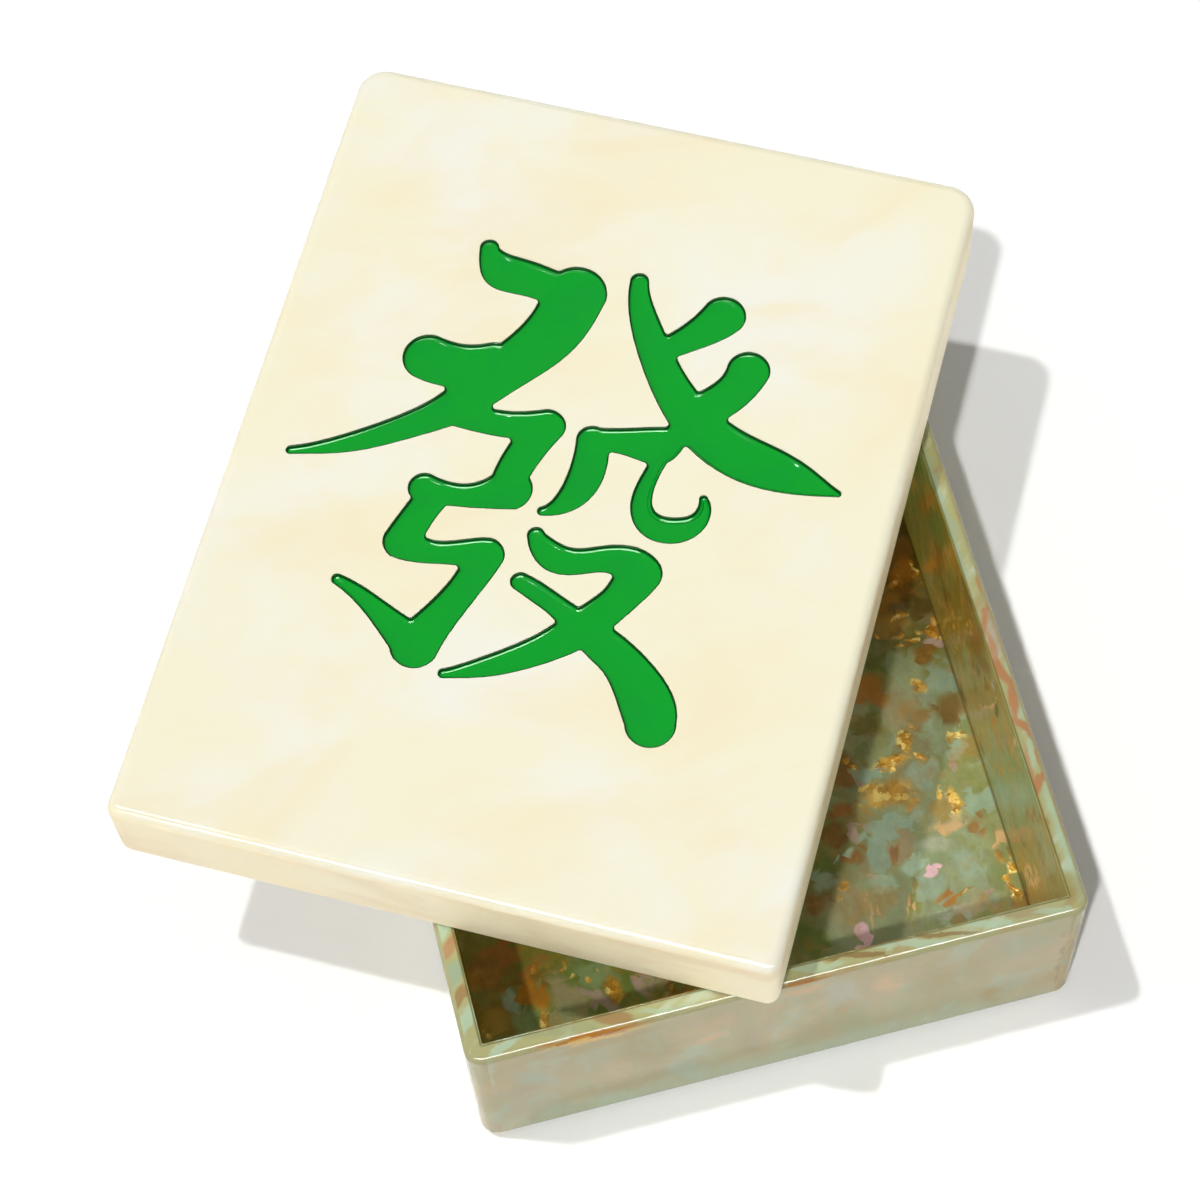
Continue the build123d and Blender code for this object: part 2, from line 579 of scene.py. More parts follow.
# kinds of shell, by their colours
DUSK = tone(84, 66, 20)
UMBER = tone(124, 86, 30)
RUST = tone(148, 93, 38)
AMBER = tone(170, 107, 28)
OLIVE = tone(112, 104, 38)
GREEN = tone(98, 114, 46)
BRONZE = tone(122, 98, 26)
KHAKI = tone(150, 136, 76)
FERN = tone(128, 144, 92)
COPPER = tone(176, 122, 80)
MOSS = tone(132, 134, 70)
SAGE = tone(146, 156, 116)
TEAL = tone(148, 168, 142)
MINT = tone(172, 196, 166)
TAUPE = tone(160, 144, 104)
MAUVE = tone(170, 144, 128)
LILAC = tone(178, 176, 154)
PINK = tone(230, 186, 192)
PEACH = tone(216, 168, 116)
OCHRE = tone(166, 132, 58)
GOLD = tone(226, 176, 74)


class About(Enum):
    """Axes that a chip can be turned about, in the order of x, y and z."""

    ACROSS = "X_AXIS"
    LENGTHWAYS = "Y_AXIS"
    UPRIGHT = "Z_AXIS"


@dataclass(frozen=True)
class ShellPiece:
    """One chip laid in the acrylic, in millimetres and degrees."""

    kind: Colour
    middle: Point
    reach: Point
    amount: float
    soft: float
    turn: float
    about: About


Pieces = tuple[ShellPiece, ...]


@dataclass(frozen=True)
class Bed:
    """A face of the tray that chips are laid in, in millimetres and degrees.

    A chip's row gives its kind, its middle on the face, half its size both ways, how solid it
    looks, how softly it ends and how far it is turned. What it leaves out is as in the bed.
    """

    about: About
    level: float
    depth: float
    amount: float
    soft: float
    turn: float = 0.0

    def lay(self, *rows: tuple[Colour | float, ...]) -> Pieces:
        """Lay chips in the face.

        Args:
            *rows: The chips, from the lowest up.

        Returns:
            The chips in the same order.
        """
        axis = list(About).index(self.about)
        usual = (self.amount, self.soft, self.turn)
        pieces = []
        for kind, first, second, wide, tall, *given in rows:
            middle = [first, second]
            middle.insert(axis, self.level)
            reach = [wide, tall]
            reach.insert(axis, self.depth)
            looks = (*given, *usual[len(given):])
            pieces.append(ShellPiece(kind, tuple(middle), tuple(reach), *looks, self.about))
        return tuple(pieces)


FLOOR = Bed(About.UPRIGHT, level=10.0, depth=7.0, amount=0.85, soft=0.3)
RIM = Bed(About.UPRIGHT, level=67.0, depth=6.0, amount=0.8, soft=0.25)
FRONT = Bed(About.LENGTHWAYS, level=-111.0, depth=9.0, amount=0.6, soft=0.7)
RIGHT_WALL = Bed(About.ACROSS, level=77.5, depth=5.0, amount=0.7, soft=0.6, turn=20.0)

FRONT_BANDS = RIM.lay(
    (MINT, -71.5, -107.8, 6, 1.5, .8, .25, 22), (SAGE, -57, -107.6, 10, 1.3, .5, .25, -6),
    (RUST, -43.5, -107.8, 5, 1.8, .6, .25, -16), (MINT, -30, -109, 8, .9, .5, .25, -8),
    (MINT, 10, -107.6, 7, 1.2, .6, .25, -13), (UMBER, 21, -108, 8, .8, .7, .25, -13),
    (MINT, 27, -106.9, 5, .9, .7, .25, -13), (MINT, 38, -108.6, 7, 1.1, .7, .25, -13),
    (UMBER, 44, -107.8, 8, .7, .65, .25, -13), (MINT, 56, -108, 7, 1.2, .7, .25, -13),
    (TAUPE, 65, -107.4, 7, 1.2, .7, .25, -13), (MINT, 73, -108.8, 6, .9, .6, .25, -8),
)

FRONT_MISTS = FRONT.lay(
    (TEAL, -65, 43, 2.4, 9, .55, .7, -28), (TEAL, -25, 18, 5, 8, .5, .7, -20),
    (LILAC, 16, 52, 3.6, 12, .6, .7, -12), (SAGE, 64, 52, 8, 7, .5),
    (TEAL, 64, 22, 6, 8, .35, .7, -20), (PEACH, 29, 49, 3.4, 7, .45, .7, -10),
    (PEACH, 5, 60, 6, 3, .5), (PEACH, -20, 40, 5, 2.4, .4, .7, -20), (OCHRE, -50, 60, 15, 4, .4),
    (GOLD, -49, 64.6, 12, 1.8, .75, .6), (AMBER, -50, 66, 13, .9, .9, .5),
    (AMBER, 6, 66, 6, .9, .8, .5), (SAGE, -70, 20, 12, 12, .3), (TAUPE, -70, 37, 6, 4, .5),
    (KHAKI, -36, 45, 7, 14, .5, .7, -10), (KHAKI, 46, 40, 10, 14, .45, .7, 20),
    # the wide MINT band at the foot (last on the next line) is partly painted light over floor shade
    (TAUPE, -8, 28, 4, 11, .55, .7, -12), (OCHRE, 58, 15, 3, 5, .5), (MINT, 0, 5, 84, 9, .45),
    (BRONZE, 77.8, 30, .9, 20, .5), (MINT, -78, 55, 1.8, 10, .5),
)

LEFT_BANDS = RIM.lay(
    (MINT, -80, -99, 6, 1.7, .8, .25, 50), (RUST, -80.5, -93, 5, 1.3, .6, .25, 50),
    (TEAL, -80, -86, 6, 2.2, .8, .25, 50), (COPPER, -80.5, -79, 5, 1.5, .7, .25, 50),
    (MINT, -80, -72, 6, 2.4, .8, .25, 50), (COPPER, -80.5, -64, 5, 1.8, .6, .25, 50),
)

RIGHT_BANDS = RIM.lay(
    (MINT, 81.8, -92, 2, 20, .7, .5), (MINT, 82, -49, 1.6, 11, .85, .4),
    (MINT, 79.6, -66, 1.2, 5, .6, .4, -6), (MAUVE, 80.6, -30, 2.2, 8, .6, .5),
    (TEAL, 78.6, 6, 1.2, 22, .6, .4), (COPPER, 82.2, -16, .8, 6, .7, .5),
    (COPPER, 80, -25, .9, 5, .8, .5, -24), (COPPER, 78.8, -35, .9, 6, .7, .5),
    (COPPER, 79.6, -42, 1.3, 5, .9, .4, 20), (COPPER, 79.7, -50, 1.2, 5.5, .9, .4, -14),
    (COPPER, 80.6, -59, 1.3, 5, .9, .4, 28), (COPPER, 82, -67, 1.3, 6, .9, .4),
    (COPPER, 80, -74.5, 1.2, 4.5, .9, .4, -30), (COPPER, 78.4, -71, .7, 7, .7, .5),
    (RUST, 78.2, -86, .6, 10, .5, .6), (KHAKI, 79.5, -103, 3, 4, .5, .5, 30),
)

FLOOR_ZONES = FLOOR.lay(
    # the DUSK zone at the back end is partly painted shade under the lid
    (DUSK, 66, 26, 30, 34, .85, .6), (SAGE, 52, -64, 24, 34, .7, .5, -20),
    (MOSS, 74, -48, 6, 34, .6, .6), (SAGE, 30, -80, 16, 10, .6, .5),
    (OLIVE, -66, -70, 22, 22, .95, .4), (GREEN, -42, -80, 24, 14, .9, .5),
    (OLIVE, 24, -66, 9, 40, .7, .5, -32),
)

WALL_ZONES = RIGHT_WALL.lay(
    (KHAKI, -92, 40, 14, 60, .9), (OCHRE, -84, 28, 6, 16), (FERN, -63, 38, 13, 60, .9),
    (KHAKI, -38, 40, 13, 60, .85), (BRONZE, -12, 38, 15, 60, .9), (OLIVE, 16, 38, 16, 60, .9),
    (GREEN, 34, 40, 8, 40),
)

FLOOR_PIECES = FLOOR.lay(
    # back end of the open floor, under the lid's shadow; dark pieces partly painted shade
    (UMBER, 74, 25, 5, 4), (AMBER, 72.3, 18.5, 4.5, 3.5, .75, .5), (UMBER, 69, 12, 5, 2.6),
    (DUSK, 73, 7.5, 4.6, 4), (OCHRE, 64, 4, 4.2, 3.4, .6, .4), (UMBER, 71, -7, 4.5, 3.2),
    (AMBER, 76, -.5, 1.6, 3), (MAUVE, 75, -4.5, 2.2, 1.4, .9), (TAUPE, 60, -21, 6.5, 5.5, .7, .5),
    (SAGE, 63, -11.5, 4.2, 8, .7, .4, -8), (TEAL, 73, -15.5, 4.6, 4.6, .75),
    (UMBER, 73, -25, 5, 4.4, .75), (AMBER, 52.5, -14.5, 4.6, 5.2, .8, .4),
    (OLIVE, 48, -25, 4.5, 3.2, .8),
    # along the lid's right edge; darker pieces partly painted shade of the lid
    (UMBER, 39, -36, 3.4, 4.4), (RUST, 34.5, -47.5, 4.2, 2.2), (UMBER, 31.2, -54, 2.8, 3.4),
    (GREEN, 26, -61, 3.6, 3.6), (TEAL, 25, -66, 4, 2, .6, .3, 8),
    (MINT, 31, -61.3, 3.2, 1.1, .8, .3, 42), (RUST, 35, -62, 3.4, 2.6, .7, .3, 10),
    (UMBER, 21.5, -72, 4.6, 3, .85, .3, 20), (GREEN, 16, -82, 4.2, 5),
    (TAUPE, 29, -75, 5.6, 7.6, .55, .5),
    # middle of the open floor
    (TEAL, 59.5, -42.5, 4.6, 3.6, .85, .2, -12), (TEAL, 46.5, -38.6, 3.8, 2.6, .85, .2, -10),
    (TEAL, 71, -38, 4.2, 2.3, .7, .2), (TEAL, 73, -54, 4.2, 3.4, .75, .2),
    (TEAL, 47.5, -55.5, 9.4, 2.4, .85, .2, 5), (TEAL, 42, -62.5, 3, 6.2, .85, .2, -8),
    (OCHRE, 48, -46, 7.6, 3.8, .75, .4, -6), (MAUVE, 37.8, -54, 1.8, 3.2, .8, .3, 12),
    (MAUVE, 42.4, -41, 1.6, 1.8, .75), (OCHRE, 62.5, -54, 5, 3, .75, .4, 20),
    (TAUPE, 48.5, -61.5, 5.4, 3.8, .9, .2, 28), (RUST, 45.4, -63, 1.2, 3.4, .7, .3, -20),
    # the peach streak first on the next line is partly a painted glint
    (PEACH, 62, -58.8, 5.2, 1.7, .7, .4, 8), (MINT, 50, -67.4, 3.4, 2.6, .8),
    (LILAC, 59, -64.4, 5.4, 1.9, .5, .5, -6), (RUST, 69.5, -61.4, 1.8, 3.4, .7, .4),
    (TEAL, 64.5, -71, 3.6, 4.2, .75), (MAUVE, 68.8, -42.4, 2.2, 1.6, .85, .3, 50),
    # front end of the open floor
    (MINT, 41, -71.5, 3.4, 3, .6), (TEAL, 53, -75, 4.6, 4.4, .75),
    (LILAC, 38.4, -68.8, 2.6, .8, .9, .3, -20), (MOSS, 47.6, -77.5, 1, 7.4, .9, .4, -14),
    # the first peach streak on the next line is partly a painted glint
    (PEACH, 46.6, -78.5, .45, 3.6, .9, .5, -14), (PEACH, 35.4, -79, .4, 5.4, .7, .6, -4),
    (LILAC, 59.5, -84.4, 6.8, 2, .55, .4, 3), (MAUVE, 67.5, -82.2, 2.6, .8, .8, .3, 20),
    (AMBER, 59, -79, 6.2, 1.2, .8, .3, 15), (PINK, 55.5, -70.5, 2.8, 1.7, .95, .15, -12),
    (PINK, 31, -84.4, 2.9, 3.6, .95, .12, -18), (OCHRE, 75, -79, 2.1, 6.4, .8, .4),
    (PEACH, 75.2, -67.5, 2.2, 2.8, .75, .4), (UMBER, 75.5, -72.5, 1.2, 1.4, .5, .5),
    # corner that shows at the front left
    (UMBER, -73, -68, 7, 4.4, .9, .5, -8), (UMBER, -62, -73, 8, 2.2, .8, .4, -6),
    (RUST, -66, -63.4, 5, 2.8, .8, .4), (RUST, -59, -69.6, 3.6, 2.2, .85, .4, -10),
    (AMBER, -61, -77.2, 3, 4.4, .8, .4), (BRONZE, -72, -82, 6.4, 6, .9, .4),
    (OCHRE, -71, -82.5, 4, 3.6, .5, .6), (TEAL, -66.6, -78, 1.5, 3.4, .6, .4, 8),
    (FERN, -64.5, -85, 3, 3.4, .7, .4), (TAUPE, -51.5, -82, 5.6, 8.4, .75, .25, 24),
    (FERN, -54, -86.5, 5, 3.4, .6, .5), (MAUVE, -42.5, -84, 1.8, 6.4, .75, .3, 42),
    (FERN, -42, -77, 7, 3.6, .85, .3, -38), (BRONZE, -38.6, -82, 3.2, 3.4, .7, .4),
    (MAUVE, -31, -81.4, 1.6, 4.8, .85, .3, 14), (TAUPE, -27, -83.6, 3.4, 3, .7, .4, -20),
    (UMBER, -22, -86, 4, 2, .8, .4, -20),
)

WALL_PIECES = RIGHT_WALL.lay(
    (SAGE, -93, 58, 3, 8, .6), (TAUPE, -91, 48, 1.6, 8), (PEACH, -85, 26, 1.5, 11, .75),
    (RUST, -78.5, 54, 1.6, 10), (COPPER, -74, 28, 1, 18, .75), (OCHRE, -80, 42, 2, 9, .5),
    (TEAL, -69, 46, 4, 15, .4), (TEAL, -60, 22, 5, 9, .35), (PEACH, -60.5, 60, 1.2, 6, .75),
    (OCHRE, -57, 38, .7, 22, .6), (TAUPE, -54, 48, 1.6, 14, .5), (AMBER, -46, 44, .9, 6, .85),
    (PEACH, -41, 44, .6, 14, .8), (TAUPE, -36, 28, 1.3, 18, .8), (LILAC, -41.5, 58.5, 2.2, 2),
    (DUSK, -46, 53, 1.6, 2.4, .8), (DUSK, -37, 50, 1.4, 3.4), (UMBER, -34, 58, 3, 6, .8),
    (UMBER, -25, 56, 4, 8, .9), (OCHRE, -20.5, 52, .7, 8, .8), (FERN, -22.5, 36, 2.4, 5, .75),
    (KHAKI, -24, 24, 3.6, 12), (DUSK, -29, 44, 1.6, 5), (OCHRE, -8, 30, .8, 20, .8),
    (KHAKI, -15, 30, 2, 16, .6), (DUSK, -3, 33, 2, 3.6, .8), (KHAKI, 0, 25, 1.8, 8, .5),
    (OCHRE, 0, 56, 3, 7, .8), (GREEN, 10.5, 54, 3.2, 9, .85), (UMBER, 6, 40, 3, 13, .85),
    (AMBER, 12, 26, 2, 12), (RUST, 20, 50, 2.2, 12, .55), (DUSK, -24, 12, 3, 4),
    (DUSK, -82, 12, 4, 3),
)

FLOOR_FOILS = FLOOR.lay(
    *((GOLD, *row) for row in (
        (75.5, 18.6, 1, 2, .8, .5), (68.4, 16.8, 1.4, .8, .8, .5, 20),
        (67, 4.3, 1.9, .9, 1, .5, -10), (60.3, 2, .7, 1.7, 1, .5, 10),
        (68, -1.6, 3.6, .6, .8, .6, -6), (75.9, -.8, .9, 2.4, 1, .5, 10),
        (66.6, -16, 2.4, 1.4, .8, .6, -40), (58.5, -31, 1.9, 3.6, .9, .5, -12),
        (51.5, -36.8, 4.4, 1.8, 1, .5, -6), (60.6, -36.8, 2.4, 1.1, 1, .5, -32),
        (48.5, -45.5, 6.8, 2.8, .65, .7, -6), (66.7, -53, 1.7, 4, 1, .4, 8),
        (63.2, -49.6, .9, 1.6, 1, .4, -12), (54.5, -50.8, 2.2, 1.2, .6, .6),
        (41, -43.5, 1.3, 1, .8, .5), (41, -34.6, 1, .8, .9, .5), (72.6, -33.6, 1.8, 1.7, .7, .5),
        (28, -69.8, 1.9, .9, .8, .5, 35), (63, -78.2, 1.5, .7, .9, .5, 20),
        (74.7, -78.5, 1.4, 5.6, .95, .5), (-59.2, -84.6, 1.2, 2.2, .95, .5, -10),
        (-50.2, -72.4, 1.1, 1.1, 1, .5), (-43.6, -77, .8, .9, .9, .5),
        (-38.6, -82, 2.2, 2.6, .9, .6), (-75.6, -84, 1.4, 1.2, .8, .6),
        (-59, -71, 2.4, 1.4, .5, .6), (-20.8, -86.8, 2.8, .9, .95, .4),
    ))
)


@dataclass(frozen=True)
class ShellSheet:
    """One sheet of the tray, and the chips that are laid in it."""

    name: str
    zones: Pieces = ()
    pieces: Pieces = ()
    foils: Pieces = ()
    bands: Pieces = ()
    mists: Pieces = ()
    gloss: float = 0.3
    # strength of a painted glow that lifts the shaded inside
    glow: float = 0.2


@dataclass(frozen=True)
class ShellTones:
    """Colours of the acrylic's rim and outside, and of the foil in its depth."""

    # the outer faces' mists are pale partly as a painted sheen of the white surroundings
    mist_and_sheen: Colour = tone(172, 158, 112)
    mist_green: Colour = tone(158, 161, 116)
    mist_teal: Colour = tone(162, 176, 142)
    mist_peach: Colour = tone(196, 162, 112)
    mist_olive: Colour = tone(166, 154, 100)
    rim_khaki: Colour = tone(168, 166, 116)
    rim_mint: Colour = tone(190, 202, 174)
    rim_tan: Colour = tone(162, 124, 78)
    rim_dark: Colour = tone(96, 92, 44)
    edge_green: Colour = tone(166, 164, 120)
    edge_orange: Colour = tone(176, 142, 88)
    foil: Colour = tone(206, 150, 50)
    foil_dark: Colour = tone(150, 104, 30)
    foil_bright: Colour = tone(255, 226, 132)
    vein: Colour = tone(196, 160, 120)
    amber_glow: Colour = tone(172, 124, 50)
    shade: Colour = (0.72, 0.72, 0.72, 1.0)


@dataclass(frozen=True)
class TraySizes:
    """Where the tray's surfaces lie, in millimetres."""

    half_width: float = 82.5
    half_length: float = 111.0
    height: float = 67.0
    wall: float = 5.0
    floor: float = 10.0


@dataclass(frozen=True)
class TrayFades:
    """How far from a surface each look begins and is full, in millimetres."""

    hollow: Span = (0.35, 0.15)
    underside: Span = (2.0, 3.0)
    rim_edge: Span = (-2.6, -1.4)
    rim_flat: Span = (-0.35, -0.12)
    corner_line_height: Span = (0.9, 0.1)
    corner_line_width: Span = (-0.9, -0.1)
    rim_line: Span = (0.7, 0.1)
    rim_line_end: Span = (0.9, 0.5)


@dataclass(frozen=True)
class ChipLayer:
    """One layer of chips that lie by chance, in millimetres."""

    size: float
    ragged: float
    offset: Point = (0.0, 0.0, 0.0)
    kinds: tuple[Colour, ...] = ()


class Edge(Enum):
    """Broken edges: size of the breaks, and how far breaks and slow waves push, in millimetres."""

    ZONE = (14.0, 3.0, 6.0)
    CHIP = (4.2, 1.7, 1.6)
    MIST = (6.0, 1.2, 3.0)
    BAND = (5.0, 0.5, 1.2)


class ShellAcrylic(Finish):
    """Shell chips in acrylic: rich inside, banded rim, outside misted partly by painted sheen."""

    tones = ShellTones()
    ground = ((0.3, DUSK), (0.42, OLIVE), (0.52, MOSS), (0.62, SAGE))
    coarse = ChipLayer(11.0, 4.0, kinds=(SAGE, OLIVE, TAUPE, MOSS, TEAL, UMBER))
    medium = ChipLayer(6.5, 2.6, (37.0, 11.0, 5.0), (TEAL, MOSS, RUST, SAGE, GREEN, TAUPE))
    flakes = ChipLayer(1.9, 0.8, (3.0, 77.0, 15.0))
    veins = ChipLayer(9.0, 5.0, (11.0, 43.0, 71.0))
    chance_amount: float = 0.62
    vein_amount: float = 0.12
    warm_amount: float = 0.42
    depth_amount: float = 0.75
    corner_line_amount: float = 0.8
    line_amount: float = 0.75
    foil_metal: float = 0.3

    def __init__(self, sheet: ShellSheet, effects: Effects) -> None:
        """Build the material for one sheet.

        Args:
            sheet: The sheet.
            effects: The shared effects.
        """
        self.title = f"shell_{sheet.name}"
        self.sheet = sheet
        self.bends: dict[Edge, Socket] = {}
        super().__init__(effects)

    def build(self) -> None:
        """Put the inside, the rim and the outside each in its place."""
        bench, sizes, fades = self.bench, TraySizes(), TrayFades()
        parts = bench.node("SeparateXYZ", self.place)
        wide = bench.math("ABSOLUTE", parts.outputs[0])
        deep = bench.math("ABSOLUTE", parts.outputs[1])
        rise = parts.outputs[2]
        inner_x = sizes.half_width - sizes.wall
        inner_y = sizes.half_length - sizes.wall

        def within(across: Span, along: Span) -> Socket:
            """Fade across and along the tray, counted from the walls' inner faces.

            Args:
                across: Where the fade across begins and is full.
                along: Where the fade along begins and is full.

            Returns:
                The socket with the fade.
            """
            return bench.times(bench.step(wide, across, inner_x), bench.step(deep, along, inner_y))

        hollow = bench.times(within(fades.hollow, fades.hollow), bench.step(rise, fades.underside))
        band = bench.step(rise, fades.rim_edge, sizes.height)
        top = bench.step(rise, fades.rim_flat, sizes.height)
        inside, foil, relief = self.inside()
        # darkens a thin line where the floor meets the side walls
        corner_line = bench.times(
            bench.step(rise, fades.corner_line_height, sizes.floor),
            bench.step(wide, fades.corner_line_width, inner_x),
        )
        inside = bench.blend(bench.times(corner_line, self.corner_line_amount), inside, DUSK)
        side, end = fades.rim_line, fades.rim_line_end
        line = bench.math("MAXIMUM", within(side, end), within(end, side))
        line = bench.times(line, self.line_amount)
        rim = bench.blend(line, self.rim(), self.tones.rim_dark)
        colour = bench.blend(band, self.outside(), self.edge_band())
        colour = bench.blend(top, colour, rim)
        bench.fill(
            self.shader,
            Base_Color=bench.blend(hollow, colour, inside),
            Roughness=self.polish((0.05, 0.2), (0.4, 0.001), bench.times(relief, hollow)),
            Metallic=bench.times(hollow, bench.times(foil, self.foil_metal)),
            # painted glow on the inside, lifting its shade
            Emission_Color=bench.blend(hollow, BLACK, inside),
            Emission_Strength=self.sheet.glow,
            IOR=1.45,
            Specular_IOR_Level=self.sheet.gloss,
        )

    def bent(self, edge: Edge) -> Socket:
        """Bend the place so that what is drawn on it ends in broken, wavy edges.

        Args:
            edge: How broken and how wavy they are.

        Returns:
            The socket with the bent place.
        """
        if edge not in self.bends:
            shard, jagged, wavy = edge.value
            breaks = self.bench.node("TexVoronoi", Vector=self.place, Scale=1.0 / shard)
            waves = self.bench.noise(self.place, 0.5 / shard, detail=2.0)["Color"]
            broken = self.bench.warp(self.place, breaks.outputs["Color"], jagged * 2.0)
            self.bends[edge] = self.bench.warp(broken, waves, wavy * 2.0)
        return self.bends[edge]

    def mask(self, edge: Edge, piece: ShellPiece) -> Socket:
        """Draw the mask of one laid chip.

        Args:
            edge: How its edge is broken.
            piece: The chip.

        Returns:
            The socket with the mask.
        """
        bench = self.bench
        place = self.bent(edge)
        if piece.turn:
            turned = bench.node("VectorRotate", place, piece.middle)
            angle = -math.radians(piece.turn)
            bench.fill(turned, rotation_type=piece.about.value, Angle=angle)
            place = turned.outputs[0]
        scale = tuple(1.0 / reach for reach in piece.reach)
        shift = tuple(-middle / reach for middle, reach in zip(piece.middle, piece.reach))
        fitted = bench.node("VectorMath", place, scale, shift, operation="MULTIPLY_ADD")
        span = bench.node("VectorMath", fitted.outputs[0], operation="LENGTH")
        ends = (span.outputs["Value"], 1.0 - piece.soft, 1.0 + piece.soft, piece.amount, 0.0)
        shown = bench.node("MapRange", *ends, interpolation_type="SMOOTHSTEP")
        return shown.outputs["Result"]

    def laid(self, colour: object, edge: Edge, pieces: Pieces) -> object:
        """Lay chips over a colour.

        Args:
            colour: The colour under them.
            edge: How their edges are broken.
            pieces: The chips, from the lowest up.

        Returns:
            The colour, or the socket with it.
        """
        for piece in pieces:
            colour = self.bench.blend(self.mask(edge, piece), colour, piece.kind)
        return colour

    def chips(self, layer: ChipLayer) -> bpy.types.NodeOutputs:
        """Scatter chips by chance.

        Args:
            layer: Their size and place.

        Returns:
            The outputs of the chips' node.
        """
        place = self.bench.vector("ADD", self.place, layer.offset)
        tree = self.effects.chips
        return self.bench.node("Group", place, layer.size, layer.ragged, node_tree=tree).outputs

    def mosaic(self) -> Socket:
        """Fill the depth with chips by chance, in soft layers.

        Returns:
            The socket with the colour.
        """
        bench = self.bench
        slow = bench.noise(self.place, 0.035, detail=2.0)["Fac"]
        colour = bench.ramp(slow, self.ground)
        for layer in (self.coarse, self.medium):
            chips = self.chips(layer)
            count = len(layer.kinds)
            stops = tuple((index / count, kind) for index, kind in enumerate(layer.kinds))
            picked = bench.ramp(chips["Pick"], stops, "CONSTANT")
            shown = bench.times(
                bench.step(chips["Twin"], (0.35, 0.6)), bench.step(chips["Edge"], (0.0, 0.16))
            )
            colour = bench.blend(bench.times(shown, self.chance_amount), colour, picked)
        return colour

    def inside(self) -> tuple[Socket, object, Socket]:
        """Lay the rich chips that show on the floor and the inner walls.

        Returns:
            The colour, the foil's mask and the chips' relief.
        """
        bench = self.bench
        tones = self.tones
        colour = self.laid(self.mosaic(), Edge.ZONE, self.sheet.zones)
        colour = self.laid(colour, Edge.CHIP, self.sheet.pieces)
        flakes = self.chips(self.flakes)
        grain = bench.noise(self.place, 0.9, detail=3.0, rough=0.65)["Fac"]
        foil: object = 0.0
        for piece in self.sheet.foils:
            foil = bench.math("MAXIMUM", foil, self.mask(Edge.CHIP, piece))
        crumpled = bench.math("ADD", flakes["Pick"], bench.times(grain, 0.8))
        # the foil's brightest stops are partly painted glints
        metals = zip((0.22, 0.45, 0.62, 0.76), (tones.foil_dark, tones.foil, GOLD, tones.foil_bright))
        shine = bench.ramp(bench.times(crumpled, 0.6), tuple(metals))
        colour = bench.blend(foil, colour, shine)
        veins = self.chips(self.veins)
        line = bench.times(
            bench.step(veins["Edge"], (0.02, 0.004)), bench.step(veins["Third"], (0.55, 0.75))
        )
        colour = bench.blend(bench.times(line, self.vein_amount), colour, tones.vein)
        moved = bench.vector("ADD", self.place, (7.0, 151.0, 29.0))
        glow = bench.noise(moved, 0.085, detail=3.0, rough=0.6)["Fac"]
        warmth = bench.times(bench.step(glow, (0.5, 0.66)), self.warm_amount)
        colour = bench.blend(warmth, colour, tones.amber_glow)
        drawn = bench.vector("MULTIPLY", self.place, (1.0, 0.6, 1.0))
        pearl = bench.noise(drawn, 0.35, detail=4.0, rough=0.6)["Fac"]
        depth = bench.ramp(pearl, ((0.3, tones.shade), (0.68, WHITE)))
        colour = bench.blend(self.depth_amount, colour, depth, "MULTIPLY")
        domes = bench.times(bench.times(flakes["Dome"], foil), 1.2)
        return colour, foil, bench.math("ADD", bench.times(grain, 0.5), domes)

    def outside(self) -> object:
        """Draw the misted clouds of the outer faces, pale partly from a painted white sheen.

        Returns:
            The colour's socket.
        """
        tones = self.tones
        colour = self.veiled(
            tones.mist_and_sheen,
            Veil(tones.mist_green, 0.8, 34.0, 10.2, (0.42, 0.62), (1.4, 1.4, 0.8)),
            Veil(tones.mist_peach, 0.5, 24.0, 7.2, (0.5, 0.68), (1.8, 1.8, 0.9), (70.0, 20.0, 8.0)),
            Veil(tones.mist_teal, 0.6, 18.0, 5.4, (0.52, 0.68), (1.5, 1.5, 0.8), (9.0, 81.0, 33.0)),
            Veil(tones.mist_olive, 0.5, 15.0, 4.5, (0.5, 0.68), (2.0, 2.0, 0.8), (333.0, 5.0, 61.0)),
        )
        return self.laid(colour, Edge.MIST, self.sheet.mists)

    def rim(self) -> object:
        """Draw the slanting mint and tan bands on the flat of the rim.

        Returns:
            The colour's socket.
        """
        tones = self.tones
        drawn, moved = (0.35, 1.25, 1.0), (83.0, 12.0, 0.0)
        colour = self.veiled(
            tones.rim_khaki,
            Veil(tones.rim_mint, 0.7, 9.0, 2.0, (0.5, 0.66), drawn, turn_degrees=36.0),
            Veil(tones.rim_tan, 0.5, 9.0, 2.0, (0.56, 0.68), drawn, moved, turn_degrees=42.0),
        )
        return self.laid(colour, Edge.BAND, self.sheet.bands)

    def edge_band(self) -> object:
        """Draw the greens and umbers of the rounded rim edge, without the outside's painted sheen.

        Returns:
            The colour's socket.
        """
        # painted reflection: the rounded edge is drawn deeper, as it catches no sheen of the white
        # surroundings
        flow = Veil(self.tones.edge_orange, 0.5, 16.0, 6.0, (0.5, 0.66), offset=(61.0, 13.0, 7.0))
        colour = self.veiled(self.tones.edge_green, flow)
        return self.laid(colour, Edge.BAND, self.sheet.mists)


